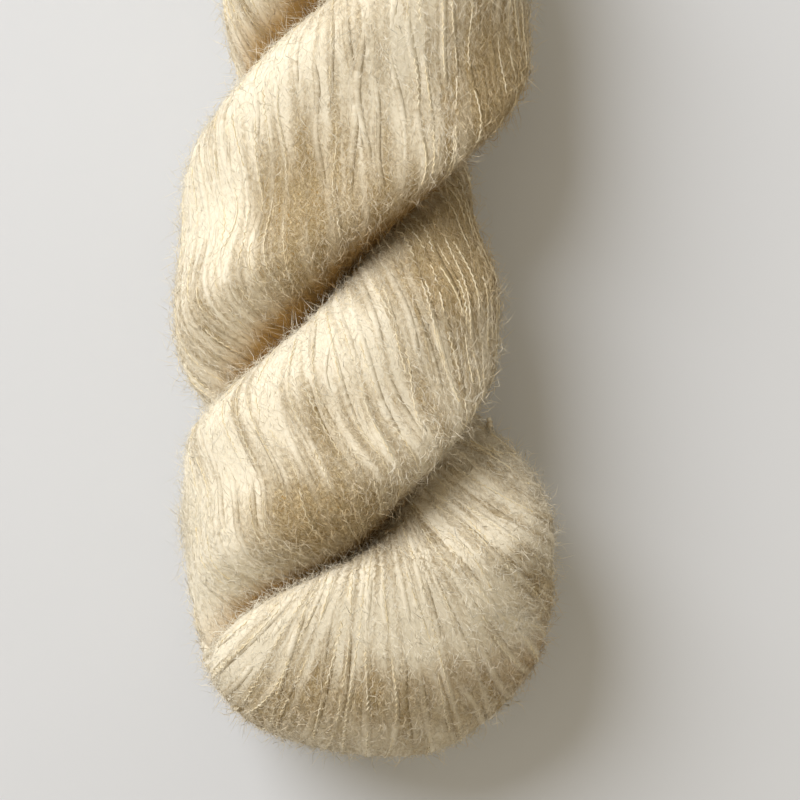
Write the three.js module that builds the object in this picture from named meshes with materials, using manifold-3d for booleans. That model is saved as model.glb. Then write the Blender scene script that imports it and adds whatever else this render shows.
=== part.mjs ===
// A twisted hank of brushed cashmere yarn, lying on a table.
//
// The hank is one skein, folded in half and twisted, so that two strands wind round each other.
// Where it was folded, the strands pass into one another in a broad, round fold. At the other end
// the loop of one strand closes round the end of the other, which sticks out as a short nub.
// Millimetres: x runs across the hank, y along it from the fold to the nub, and z up from the table.

import * as THREE from "three";
import Module from "manifold-3d";
import { mergeVertices } from "three/addons/utils/BufferGeometryUtils.js";

// Driving sizes of the whole hank. SQUASH is how far its weight flattens it; the two caps are the
// lengths over which the fold and the nub round off.
const LENGTH = 290;
const SQUASH = 0.79;
const FOLD_CAP = 29;
const NUB_CAP = 13;

// Each row is the section at one distance along the hank.
//   y        distance from the fold's tip
//   turn     how far strand A has wound round the axis, in degrees: 90 is on top, 270 underneath
//   shift    how far the axis lies to the right
//   height   height of the axis over the table
//   depth    half the thickness of a strand, measured away from the axis
//   reachA   distance from the axis to the outside of strand A
//   acrossA  half the width of strand A, measured round the axis
//   reachB   the same two sizes for strand B, which lies half a turn from strand A
//   acrossB
const COLUMNS = ["y", "turn", "shift", "height", "depth", "reachA", "acrossA", "reachB", "acrossB"];
const SECTIONS = [
  [0, 440, 10, 25, 28, 35, 41, 32, 37],
  [6, 440, 4.5, 25.5, 28, 35.5, 41, 32, 37],
  [14, 440, 3, 26, 28, 36, 41.5, 33, 38],
  [28, 433, 3.9, 27, 27.5, 38, 42, 38, 39],
  [42, 405, 4.6, 27.5, 26, 43.5, 40, 42.5, 38],
  [55, 356, 4.6, 28, 25, 46, 35, 45.5, 36],
  [70, 318, 4, 29, 24.5, 43, 32, 44.5, 35.5],
  [86, 270, -2, 29.5, 24, 40, 32, 41.5, 33.5],
  [102, 222, -3, 29, 24, 40, 32, 40, 31.5],
  [119, 178, -3, 28, 24, 40, 34, 39.5, 30],
  [136, 140, 0, 26.5, 24, 39.5, 36.5, 31, 27],
  [154, 99, 1.8, 25.5, 24, 40, 36.5, 33.5, 24],
  [172, 60, 3.5, 27, 24, 39, 36, 36, 26],
  [190, 22, 5, 28.5, 23.5, 38.5, 33, 36.5, 29],
  [224, -75, 2, 28.5, 22.5, 38.5, 31, 38.5, 32],
  [250, -150, 0, 26.5, 21, 37, 30, 37, 30],
  [264, -185, 0, 22, 16, 20, 20, 20, 20],
  [276, -210, 0, 17, 13, 16, 17, 16, 17],
  [290, -230, 0, 14, 13, 15, 16, 15, 16],
].map((row) => Object.fromEntries(COLUMNS.map((name, index) => [name, row[index]])));

// On its upper side the hank sinks by SINK at the creases. From there a strand rises to its full
// height over SLOPE on its side towards the fold, and over SHOULDER on its other side, where both
// are how far it then lies outside the other strand. It passes from one to the other within
// SIDE_BLEND, in radians, of its middle, and the sinking starts between the two shares of SINK_UP.
const SINK = 8;
const SLOPE = 36;
const SHOULDER = 14;
const SIDE_BLEND = 0.5;
const SINK_UP = [0.05, 0.6];

// Strand A's crest on the fold is worn low: it flattens towards the height CREST, softly over
// CREST_SOFT, and this limit lifts by CREST_LIFT between the two distances of CREST_END.
const CREST = 58;
const CREST_SOFT = 16;
const CREST_LIFT = 30;
const CREST_END = [60, 90];

// Yarns lie in bundles, which show as low, uneven ridges. On a strand they wind back by lay times
// the strand's own turn. In the fold they fan out from one place under its upper edge: on strand A
// over the reach before the fan's own y, and on strand B nearer to the tip. A beat is how many
// times the ridges grow and fade on the way round.
const RIDGE_RISE = 0.7;
const WOUND = { ridges: 11, beats: 3, lay: 1.41 };
const FAN = { ridges: 15, beats: 2, x: 12, y: 57, yOnB: 28, reach: 12 };

// Mesh density: rings along the body and on each cap, and points on each strand between the creases
const BODY_RINGS = 74;
const CAP_RINGS = 9;
const STRAND_POINTS = 30;

// Halvings in the search for a crease, the distance under which points are one, and the depth of
// the block that stands for the table
const CREASE_STEPS = 24;
const MERGE_DISTANCE = 1e-4;
const TABLE_DEPTH = 20;

// A smooth curve through one column of the sections, at distance y
function valueAt(column, y) {
  const last = SECTIONS.length - 1;
  const next = SECTIONS.findIndex((row) => row.y >= y);
  const index = THREE.MathUtils.clamp(next - 1, 0, last - 1);
  const slopeBetween = (i) => {
    const rise = SECTIONS[i + 1][column] - SECTIONS[i][column];
    return rise / (SECTIONS[i + 1].y - SECTIONS[i].y);
  };
  const slopeAt = (i) => {
    if (i === 0) return slopeBetween(0);
    if (i === last) return slopeBetween(last - 1);
    const before = SECTIONS[i].y - SECTIONS[i - 1].y;
    const after = SECTIONS[i + 1].y - SECTIONS[i].y;
    return (slopeBetween(i - 1) * after + slopeBetween(i) * before) / (before + after);
  };
  const from = SECTIONS[index];
  const to = SECTIONS[index + 1];
  const span = to.y - from.y;
  const t = (y - from.y) / span;
  const t2 = t * t;
  const t3 = t2 * t;
  const start = (2 * t3 - 3 * t2 + 1) * from[column] + (t3 - 2 * t2 + t) * slopeAt(index) * span;
  const end = (3 * t2 - 2 * t3) * to[column] + (t3 - t2) * slopeAt(index + 1) * span;
  return start + end;
}

// Both ends close as half an ellipse: 1 away from the ends, 0 at the tips
function closing(y) {
  const fromFold = Math.min(1, y / FOLD_CAP);
  const fromNub = Math.min(1, (LENGTH - y) / NUB_CAP);
  const rounded = (part) => Math.sqrt(Math.max(0, 1 - (1 - part) ** 2));
  return rounded(fromFold) * rounded(fromNub);
}

// The two strands at distance y, each an ellipse beside the axis
function sectionAt(y) {
  const close = closing(y);
  const depth = valueAt("depth", y);
  const strand = (reach, across) => {
    const orbit = (reach - depth) * close * close;
    return { orbit, depth: reach * close - orbit, across: across * close };
  };
  return {
    turn: THREE.MathUtils.degToRad(valueAt("turn", y)),
    shift: valueAt("shift", y),
    height: valueAt("height", y),
    strands: [
      strand(valueAt("reachA", y), valueAt("acrossA", y)),
      strand(valueAt("reachB", y), valueAt("acrossB", y)),
    ],
  };
}

// Distance from the axis to the outside of a strand, in a direction measured from its middle
function strandRadius({ orbit, depth, across }, direction) {
  const c = Math.cos(direction);
  const s = Math.sin(direction);
  const a = (c / depth) ** 2 + (s / across) ** 2;
  const b = (-2 * orbit * c) / depth ** 2;
  const d = (orbit / depth) ** 2 - 1;
  return (-b + Math.sqrt(Math.max(0, b * b - 4 * a * d))) / (2 * a);
}

// The direction, from strand A's middle, of the crease where the two strands meet
function creaseDirection([strandA, strandB]) {
  const isOnA = (direction) => {
    return strandRadius(strandA, direction) > strandRadius(strandB, Math.PI - direction);
  };
  let low = Math.PI / 4;
  let high = (3 * Math.PI) / 4;
  if (!isOnA(low) || isOnA(high)) return Math.PI / 2;
  for (let step = 0; step < CREASE_STEPS; step += 1) {
    const middle = (low + high) / 2;
    if (isOnA(middle)) low = middle;
    else high = middle;
  }
  return (low + high) / 2;
}

// How far a point of a strand sinks beside the crease that it shares with the other strand
function sinkAt(strands, index, direction, angle, y) {
  const outside = strandRadius(strands[index], direction);
  const gap = Math.max(0, outside - strandRadius(strands[1 - index], Math.PI - direction));
  const slope = Math.max(0, 1 - gap / SLOPE) ** 1.5;
  const shoulder = Math.max(0, 1 - gap / SHOULDER) ** 2;
  const side = THREE.MathUtils.smoothstep(direction, -SIDE_BLEND, SIDE_BLEND);
  const near = THREE.MathUtils.lerp(slope, shoulder, side);
  return SINK * near * THREE.MathUtils.smoothstep(Math.sin(angle), ...SINK_UP) * closing(y);
}

// Keeps the radius of strand A under the low crest of the fold
function underCrest(radius, angle, height, y) {
  const top = CREST + CREST_LIFT * THREE.MathUtils.smoothstep(y, ...CREST_END) - height;
  const limit = top / (SQUASH * Math.max(Math.sin(angle), SINK_UP[0]));
  const share = THREE.MathUtils.clamp(0.5 + (0.5 * (limit - radius)) / CREST_SOFT, 0, 1);
  return THREE.MathUtils.lerp(limit, radius, share) - CREST_SOFT * share * (1 - share);
}

// Height of the ridges at a point of strand A (0) or B (1)
function ridgeRise(strandIndex, strand, direction, radius, turn, x, y) {
  const outward = (radius * Math.cos(direction) - strand.orbit) / strand.depth;
  const around = (radius * Math.sin(direction)) / strand.across;
  const place = Math.atan2(around, outward) + WOUND.lay * turn;
  const wound = Math.cos(WOUND.ridges * place) * Math.cos(WOUND.beats * place + strandIndex);
  const spread = Math.atan2(x - FAN.x, FAN.y - y);
  const fanned = Math.cos(FAN.ridges * spread) * Math.cos(FAN.beats * spread);
  const edge = strandIndex === 0 ? FAN.y : FAN.yOnB;
  const share = THREE.MathUtils.smoothstep(y, edge - FAN.reach, edge);
  return RIDGE_RISE * closing(y) * (share * wound + (1 - share) * fanned);
}

// One ring of points round the hank, from crease to crease on each strand in turn
function ringAt(y) {
  const { turn, shift, height, strands } = sectionAt(y);
  const crease = creaseDirection(strands);
  const halves = [crease, Math.PI - crease];
  const points = [];
  for (const [index, strand] of strands.entries()) {
    for (let step = 0; step < STRAND_POINTS; step += 1) {
      const direction = halves[index] * ((2 * step) / STRAND_POINTS - 1);
      const angle = turn + index * Math.PI + direction;
      const smooth = strandRadius(strand, direction);
      const flatX = shift + smooth * Math.cos(angle);
      const sunk = smooth - sinkAt(strands, index, direction, angle, y);
      const worn = index === 0 ? underCrest(sunk, angle, height, y) : sunk;
      const radius = worn + ridgeRise(index, strand, direction, smooth, turn, flatX, y);
      const x = shift + radius * Math.cos(angle);
      const z = height + SQUASH * radius * Math.sin(angle);
      points.push(new THREE.Vector3(x, y, z));
    }
  }
  return points;
}

// Distances of the rings: even along the body, closer together towards the two tips
function ringDistances() {
  const distances = [];
  for (let step = 1; step <= CAP_RINGS; step += 1) {
    distances.push(FOLD_CAP * (1 - Math.cos((step / CAP_RINGS) * (Math.PI / 2))));
  }
  const bodyLength = LENGTH - FOLD_CAP - NUB_CAP;
  for (let step = 1; step < BODY_RINGS; step += 1) {
    distances.push(FOLD_CAP + (bodyLength * step) / BODY_RINGS);
  }
  for (let step = CAP_RINGS; step >= 1; step -= 1) {
    distances.push(LENGTH - NUB_CAP * (1 - Math.cos((step / CAP_RINGS) * (Math.PI / 2))));
  }
  return distances;
}

// Triangles between the rings and out to the two tips; each quad is cut along its shorter diagonal
function hankGeometry() {
  const rings = ringDistances().map(ringAt);
  const tipAt = (y) => new THREE.Vector3(valueAt("shift", y), y, valueAt("height", y));
  const foldTip = tipAt(0);
  const nubTip = tipAt(LENGTH);
  const corners = [];
  const around = rings[0].length;
  for (let i = 0; i < around; i += 1) {
    const j = (i + 1) % around;
    corners.push(foldTip, rings[0][i], rings[0][j]);
    for (let ring = 0; ring + 1 < rings.length; ring += 1) {
      const a = rings[ring][i];
      const b = rings[ring][j];
      const c = rings[ring + 1][j];
      const d = rings[ring + 1][i];
      if (a.distanceTo(c) < b.distanceTo(d)) corners.push(a, c, b, a, d, c);
      else corners.push(a, d, b, b, d, c);
    }
    corners.push(nubTip, rings.at(-1)[j], rings.at(-1)[i]);
  }
  return new THREE.BufferGeometry().setFromPoints(corners);
}

function toManifold(wasm, geometry) {
  geometry.deleteAttribute("normal");
  geometry.deleteAttribute("uv");
  const merged = mergeVertices(geometry, MERGE_DISTANCE);
  const mesh = new wasm.Mesh({
    numProp: 3,
    vertProperties: new Float32Array(merged.attributes.position.array),
    triVerts: new Uint32Array(merged.index.array),
  });
  return new wasm.Manifold(mesh);
}

function fromManifold(solid) {
  const mesh = solid.getMesh();
  const geometry = new THREE.BufferGeometry();
  geometry.setAttribute("position", new THREE.BufferAttribute(mesh.vertProperties, 3));
  geometry.setIndex(new THREE.BufferAttribute(mesh.triVerts, 1));
  geometry.computeVertexNormals();
  return geometry;
}

// The hank's own weight presses it flat where it touches the table
function restingHank(wasm) {
  const table = new THREE.BoxGeometry(LENGTH, 2 * LENGTH, TABLE_DEPTH);
  table.translate(0, LENGTH / 2, -TABLE_DEPTH / 2);
  const hank = toManifold(wasm, hankGeometry());
  const geometry = fromManifold(hank.subtract(toManifold(wasm, table)));
  geometry.computeBoundingBox();
  const centre = geometry.boundingBox.getCenter(new THREE.Vector3());
  geometry.translate(-centre.x, -centre.y, 0);
  return geometry;
}

const wasm = await Module();
wasm.setup();

const yarn = new THREE.MeshStandardMaterial({ color: 0xeadfc3, roughness: 0.95, metalness: 0 });
const hank = new THREE.Mesh(restingHank(wasm), yarn);
hank.name = "hank";

const group = new THREE.Group();
group.add(hank);

export default group;
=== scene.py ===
"""Dresses a twisted hank as brushed cashmere yarn.

The hank's form is two strands that wind round each other and pass into one another in a broad fold.
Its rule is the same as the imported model's, so every yarn, thread and fibre lies on the solid.
The form is worked out in millimetres, with y measured from the tip of the fold, and each finished
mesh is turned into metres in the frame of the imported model.
"""

from collections import namedtuple

import bpy
import numpy as np
from bpy.props import FloatProperty, FloatVectorProperty, IntProperty, PointerProperty
from mathutils.kdtree import KDTree
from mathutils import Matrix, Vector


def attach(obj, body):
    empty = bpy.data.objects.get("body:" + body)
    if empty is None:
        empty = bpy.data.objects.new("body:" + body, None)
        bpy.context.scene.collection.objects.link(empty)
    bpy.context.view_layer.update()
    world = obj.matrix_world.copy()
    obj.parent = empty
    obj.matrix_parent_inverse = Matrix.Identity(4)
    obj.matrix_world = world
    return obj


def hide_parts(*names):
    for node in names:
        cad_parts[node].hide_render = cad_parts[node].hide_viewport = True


bl_info = {
    "name": "Brushed Yarn Hank",
    "version": (1, 0, 0),
    "blender": (4, 5, 0),
    "location": "3D View > Sidebar > Hank",
    "description": "Dresses a twisted hank in brushed yarn, binder threads and fibres",
    "category": "Object",
}

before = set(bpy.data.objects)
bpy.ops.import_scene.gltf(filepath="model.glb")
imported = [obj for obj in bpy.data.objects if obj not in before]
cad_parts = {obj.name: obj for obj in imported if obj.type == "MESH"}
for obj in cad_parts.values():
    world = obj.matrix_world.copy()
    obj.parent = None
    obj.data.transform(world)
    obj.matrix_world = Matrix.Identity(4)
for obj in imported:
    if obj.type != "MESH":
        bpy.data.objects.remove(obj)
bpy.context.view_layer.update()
NODE = "hank"
BODY = "root"
MM = 0.001

# The form of the hank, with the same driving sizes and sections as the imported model, in millimetres
LENGTH = 290.0
SQUASH = 0.79
FOLD_CAP = 29.0
NUB_CAP = 13.0
LEAN = 0.1
SINK, SLOPE, SHOULDER, SIDE_BLEND, SINK_UP = 8.0, 36.0, 14.0, 0.5, (0.05, 0.6)
CREST, CREST_SOFT, CREST_LIFT, CREST_END = 58.0, 16.0, 30.0, (60.0, 90.0)
COLUMNS = ("y", "turn", "shift", "height", "depth", "reach_a", "across_a", "reach_b", "across_b")
SECTIONS = np.array([
    (0, 440, 10, 25, 28, 35, 41, 32, 37),
    (6, 440, 4.5, 25.5, 28, 35.5, 41, 32, 37),
    (14, 440, 3, 26, 28, 36, 41.5, 33, 38),
    (28, 433, 3.9, 27, 27.5, 38, 42, 38, 39),
    (42, 405, 4.6, 27.5, 26, 43.5, 40, 42.5, 38),
    (55, 356, 4.6, 28, 25, 46, 35, 45.5, 36),
    (70, 318, 4, 29, 24.5, 43, 32, 44.5, 35.5),
    (86, 270, -2, 29.5, 24, 40, 32, 41.5, 33.5),
    (102, 222, -3, 29, 24, 40, 32, 40, 31.5),
    (119, 178, -3, 28, 24, 40, 34, 39.5, 30),
    (136, 140, 0, 26.5, 24, 39.5, 36.5, 31, 27),
    (154, 99, 1.8, 25.5, 24, 40, 36.5, 33.5, 24),
    (172, 60, 3.5, 27, 24, 39, 36, 36, 26),
    (190, 22, 5, 28.5, 23.5, 38.5, 33, 36.5, 29),
    (224, -75, 2, 28.5, 22.5, 38.5, 31, 38.5, 32),
    (250, -150, 0, 26.5, 21, 37, 30, 37, 30),
    (264, -185, 0, 22, 16, 20, 20, 20, 20),
    (276, -210, 0, 17, 13, 16, 17, 16, 17),
    (290, -230, 0, 14, 13, 15, 16, 15, 16),
], float)
FINE_STEP = 0.25
FINE_Y = np.arange(0, LENGTH + FINE_STEP / 2, FINE_STEP)

# The yarns of the fold leave the crease under the second lobe and fan out over the end. Each row is
# where one of them leaves the crease and where it goes over the edge, seen from above.
FAN = np.array([
    (32.0, 87.3, 40.5, 80.3),
    (29.5, 81.8, 47.5, 69.3),
    (26.3, 74.3, 50.0, 59.3),
    (22.5, 64.3, 48.8, 41.8),
    (18.8, 57.5, 41.3, 26.8),
    (13.8, 54.8, 27.5, 5.5),
    (8.8, 53.0, 11.3, 1.8),
    (3.8, 50.5, -1.3, 1.8),
    (-3.8, 45.5, -17.5, 5.5),
    (-10.0, 41.8, -28.8, 14.3),
    (-20.0, 38.0, -35.0, 23.0),
    (-28.8, 33.8, -36.8, 28.0),
])
FAN_HEIGHT = 24.0
FAN_BACK = 0.35
IN_CREASE = np.radians(35)


def smoothly(t, span, low, high, low_slope, high_slope):
    """A smooth curve between two values, with these slopes at its ends"""
    return (
        (2 * t**3 - 3 * t**2 + 1) * low
        + (t**3 - 2 * t**2 + t) * low_slope * span
        + (3 * t**2 - 2 * t**3) * high
        + (t**3 - t**2) * high_slope * span
    )


def fine_curve(column):
    """One column of the sections as a smooth curve, at every fine step along the hank"""
    y, values = SECTIONS[:, 0], SECTIONS[:, COLUMNS.index(column)]
    span = np.diff(y)
    between = np.diff(values) / span
    slopes = np.concatenate([
        between[:1],
        (between[:-1] * span[1:] + between[1:] * span[:-1]) / (span[:-1] + span[1:]),
        between[-1:],
    ])
    low = np.clip(np.searchsorted(y, FINE_Y) - 1, 0, len(y) - 2)
    t = (FINE_Y - y[low]) / span[low]
    return smoothly(t, span[low], values[low], values[low + 1], slopes[low], slopes[low + 1])


CURVES = {column: fine_curve(column) for column in COLUMNS[1:]}


def along(column, y):
    return np.interp(y, FINE_Y, CURVES[column])


def rounded(part):
    return np.sqrt(np.clip(1 - (1 - np.clip(part, 0, 1)) ** 2, 0, None))


def closing(y):
    return np.maximum(rounded(y / FOLD_CAP) * rounded((LENGTH - y) / NUB_CAP), 1e-4)


def strand_shape(strand, y):
    """Where a strand's ellipse lies at distance y: orbit, half depth, half width and direction"""
    close = closing(y)
    depth, reach = along("depth", y), along("reach_" + strand, y)
    orbit = (reach - depth) * close**2
    turn = np.radians(along("turn", y)) + (np.pi if strand == "b" else 0)
    return orbit, reach * close - orbit, along("across_" + strand, y) * close, turn


def smooth_step(value, low, high):
    t = np.clip((value - low) / (high - low), 0, 1)
    return t * t * (3 - 2 * t)


def plain_reach(strand, y, angle):
    """Distance from the hank's axis to the outside of a strand's plain ellipse, in a direction
    round the axis"""
    orbit, depth, across, turn = strand_shape(strand, y)
    c, s = np.cos(angle - turn), np.sin(angle - turn)
    a = (c / depth) ** 2 + (s / across) ** 2
    b = -2 * orbit * c / depth**2
    d = (orbit / depth) ** 2 - 1
    return (-b + np.sqrt(np.clip(b * b - 4 * a * d, 0, None))) / (2 * a)


def shoulder_side(strand, y, angle):
    """0 on a strand's side towards the fold, 1 on its other side"""
    off = angle - strand_shape(strand, y)[3]
    return smooth_step((off + np.pi) % (2 * np.pi) - np.pi, -SIDE_BLEND, SIDE_BLEND)


def reach_towards(strand, y, angle):
    """Distance from the hank's axis to the outside of a strand, with its sinking at the creases
    and the low crest of the fold"""
    own = plain_reach(strand, y, angle)
    gap = np.clip(own - plain_reach("b" if strand == "a" else "a", y, angle), 0, None)
    slope = np.clip(1 - gap / SLOPE, 0, 1) ** 1.5
    shoulder = np.clip(1 - gap / SHOULDER, 0, 1) ** 2
    near = slope + (shoulder - slope) * shoulder_side(strand, y, angle)
    reach = own - SINK * near * smooth_step(np.sin(angle), *SINK_UP) * closing(y)
    if strand == "b":
        return reach
    top = CREST + CREST_LIFT * smooth_step(y, *CREST_END) - along("height", y)
    limit = top / (SQUASH * np.maximum(np.sin(angle), SINK_UP[0]))
    share = np.clip(0.5 + 0.5 * (limit - reach) / CREST_SOFT, 0, 1)
    return limit + (reach - limit) * share - CREST_SOFT * share * (1 - share)


def around_axis(y, angle, reach):
    x = along("shift", y) + reach * np.cos(angle)
    z = along("height", y) + SQUASH * reach * np.sin(angle)
    return np.stack([x, y + 0 * x, z], -1)


def wound_points(strand, y, place):
    """Points of a strand's surface along a yarn. A yarn runs almost straight along the hank,
    because its twist undoes the twist of the strands, and leans a little."""
    angle = place - LEAN * np.radians(along("turn", y))
    return around_axis(y, angle, reach_towards(strand, y, angle))


def depth_inside(strand, points):
    """How far points lie inside a strand, measured towards the hank's axis; negative outside"""
    x, y, z = np.moveaxis(points, -1, 0)
    over = x - along("shift", y)
    up = (z - along("height", y)) / SQUASH
    reach = reach_towards(strand, y, np.arctan2(up, over))
    beyond = np.maximum(-y, y - LENGTH)
    return np.where(beyond > 0, -beyond, reach - np.hypot(over, up))


def depth_in_hank(points):
    return np.maximum(depth_inside("a", points), depth_inside("b", points))


def unit(vectors):
    return vectors / np.maximum(np.linalg.norm(vectors, axis=-1, keepdims=True), 1e-9)


def outward_normals(depth, points, step=0.4):
    """Unit vectors out of the surface where depth(points) is nought"""
    slopes = []
    for axis in range(3):
        offset = np.zeros(3)
        offset[axis] = step
        slopes.append(depth(points - offset) - depth(points + offset))
    return unit(np.stack(slopes, -1))


def hank_centre_x():
    """Where the middle of the hank's box lies across the hank, before it is moved to the frame"""
    y, place = np.meshgrid(np.arange(1, LENGTH, 1.0), np.radians(np.arange(0, 360, 2.0)))
    points = np.concatenate([wound_points(s, y, place).reshape(-1, 3) for s in "ab"])
    x = points[points[:, 2] > 0, 0]
    return (x.min() + x.max()) / 2


CENTRE_X = hank_centre_x()


def to_frame(points):
    """From the form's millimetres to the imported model's metres"""
    return (points - (CENTRE_X, LENGTH / 2, 0)) * MM


def waves(random, low, high, count, size):
    """A smooth random function of one distance, between about -size and size: the sum of this many
    waves with lengths from low to high"""
    lengths = random.uniform(low, high, count)
    steps = [(2 * np.pi / length, random.uniform(0, 2 * np.pi)) for length in lengths]
    return lambda distance: size * sum(np.sin(a * distance + b) for a, b in steps) / count**0.5


def distances(points):
    """How far along a chain each of its points is"""
    steps = np.linalg.norm(np.diff(points, axis=0), axis=1)
    return np.concatenate([[0], np.cumsum(steps)])


# Nodes


def add_node(tree, kind, *values, **named):
    """A new node. The values go to its inputs in order, and the named ones to the inputs of such a
    name or, without a capital, to its settings. A value may be a link, or None for the default."""
    node = tree.nodes.new(kind)
    inputs = dict(enumerate(values))
    for name, value in named.items():
        if name[0].isupper():
            inputs[name.replace("_", " ")] = value
        else:
            setattr(node, name, value)
    for key, value in inputs.items():
        if isinstance(value, bpy.types.NodeSocket):
            tree.links.new(value, node.inputs[key])
        elif value is not None:
            node.inputs[key].default_value = value
    return node


def first(tree, kind, *values, **named):
    """The first output of a new node"""
    return add_node(tree, kind, *values, **named).outputs[0]


def geometry(tree, kind, *values, **named):
    return first(tree, "GeometryNode" + kind, *values, **named)


def math(tree, operation, *values):
    return first(tree, "ShaderNodeMath", *values, operation=operation)


def vector_math(tree, operation, *values, **named):
    return first(tree, "ShaderNodeVectorMath", *values, operation=operation, **named)


def vector(tree, x, y, z):
    return first(tree, "ShaderNodeCombineXYZ", x, y, z)


def noise(tree, place, scale, detail, distortion=0.0, output="Fac"):
    kind = "ShaderNodeTexNoise"
    node = add_node(tree, kind, Vector=place, Scale=scale, Detail=detail, Distortion=distortion)
    return node.outputs[output]


def shaken(tree, place, scale, detail, reach):
    """A random offset that changes smoothly with the place"""
    colour = noise(tree, place, scale, detail, output="Color")
    centred = vector_math(tree, "SUBTRACT", colour, (0.5, 0.5, 0.5))
    return vector_math(tree, "SCALE", centred, Scale=reach)


def named_value(tree, name, kind="FLOAT"):
    node = add_node(tree, "GeometryNodeInputNamedAttribute", Name=name, data_type=kind)
    return next(socket for socket in node.outputs if socket.enabled)


def with_value(tree, carrier, name, value):
    kind = "StoreNamedAttribute"
    return geometry(tree, kind, Geometry=carrier, Name=name, Value=value, data_type="FLOAT")


SOCKET_KINDS = {int: "Int", float: "Float", type(None): "Material"}


def new_tree(name, **defaults):
    """A Geometry Nodes tree with these inputs and one for the material, and what they hold"""
    tree = bpy.data.node_groups.new(name, "GeometryNodeTree")
    face = tree.interface
    face.new_socket("Geometry", in_out="INPUT", socket_type="NodeSocketGeometry")
    for label, default in (defaults | {"Material": None}).items():
        kind = "NodeSocket" + SOCKET_KINDS[type(default)]
        socket = face.new_socket(label, in_out="INPUT", socket_type=kind)
        if default is not None:
            socket.default_value = default
    face.new_socket("Geometry", in_out="OUTPUT", socket_type="NodeSocketGeometry")
    return tree, tree.nodes.new("NodeGroupInput").outputs


def finish_tree(tree, given, made, lowest):
    """Lifts what is lower than this height up to it, makes it real and gives it its material"""
    apart = add_node(tree, "ShaderNodeSeparateXYZ", geometry(tree, "InputPosition")).outputs
    place = vector(tree, apart[0], apart[1], math(tree, "MAXIMUM", apart[2], lowest))
    resting = geometry(tree, "SetPosition", Geometry=made, Position=place)
    realized = geometry(tree, "RealizeInstances", Geometry=resting)
    dressed = geometry(tree, "SetMaterial", Geometry=realized, Material=given["Material"])
    tree.links.new(dressed, tree.nodes.new("NodeGroupOutput").inputs[0])
    return tree


def ring_curve(tree, sides):
    return geometry(tree, "CurvePrimitiveCircle", Resolution=sides, Radius=1.0, mode="RADIUS")


def tube(tree, curve, normal, ring, stretch, radius, caps=False):
    """A tube along a curve, from a ring that is stretched across the curve's normal or along it"""
    faced = geometry(tree, "SetCurveNormal", Curve=curve, Normal=normal, mode="FREE")
    place = vector_math(tree, "MULTIPLY", geometry(tree, "InputPosition"), stretch)
    profile = geometry(tree, "SetPosition", Geometry=ring, Position=place)
    kind = "CurveToMesh"
    return geometry(tree, kind, Curve=faced, Profile_Curve=profile, Scale=radius, Fill_Caps=caps)


def thread_tree():
    """Turns each chain of edges into a thread as thick as its points say, flattened outwards"""
    tree, given = new_tree("spun_thread", Sides=6, Flatness=1.0)
    sides = given["Sides"]
    half = math(tree, "FLOOR", math(tree, "DIVIDE", sides, 2.0))
    from_inside = math(tree, "ADD", geometry(tree, "InputIndex"), half)
    share = math(tree, "DIVIDE", math(tree, "MODULO", from_inside, sides), sides)
    ring = with_value(tree, ring_curve(tree, sides), "round", share)
    curve = geometry(tree, "MeshToCurve", Mesh=given["Geometry"])
    outward = named_value(tree, "outward", "FLOAT_VECTOR")
    flat = vector(tree, given["Flatness"], 1.0, 1.0)
    thread = tube(tree, curve, outward, ring, flat, named_value(tree, "thickness"), True)
    smooth = geometry(tree, "SetShadeSmooth", Geometry=thread)
    return finish_tree(tree, given, smooth, 0.0)


def fibre_shape(tree, bends, slender, breadth):
    """One fibre, one unit long, pointed at both ends, bent at each inner point. It lies flat, and
    is this many times as broad as it is thick."""
    line = geometry(tree, "CurvePrimitiveLine", Start=(0, 0, 0), End=(1, 0, 0))
    bent = geometry(tree, "ResampleCurve", Curve=line, Count=len(bends) + 2, mode="COUNT")
    index, inner = geometry(tree, "InputIndex"), 0.0
    for number, bend in enumerate(bends):
        here = math(tree, "COMPARE", index, number + 1.0, 0.1)
        offset = vector_math(tree, "SCALE", bend, Scale=here)
        bent = geometry(tree, "SetPosition", Geometry=bent, Offset=offset)
        inner = math(tree, "ADD", inner, here)
    radius = math(tree, "MULTIPLY", inner, slender)
    across = vector(tree, 1.0, breadth, 1.0)
    fibre = tube(tree, bent, (0, 0, 1), ring_curve(tree, 3), across, radius)
    pointed = geometry(tree, "MergeByDistance", Geometry=fibre, Distance=1e-5)
    return geometry(tree, "GeometryToInstance", pointed)


LONG_FIBRES = (
    ((0, 0.10, 0.02), (0, 0.12, -0.03)),
    ((0, 0.07, -0.05), (0, -0.08, 0.03)),
    ((0, -0.16, 0.00), (0, -0.10, 0.06)),
    ((0, 0.03, 0.07), (0, 0.20, 0.05)),
)
SHORT_FIBRES = (((0, 0.10, 0.02),), ((0, 0.16, 0.06),), ((0, 0.04, -0.03),))
TABLE_GAP = 0.00005


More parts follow.
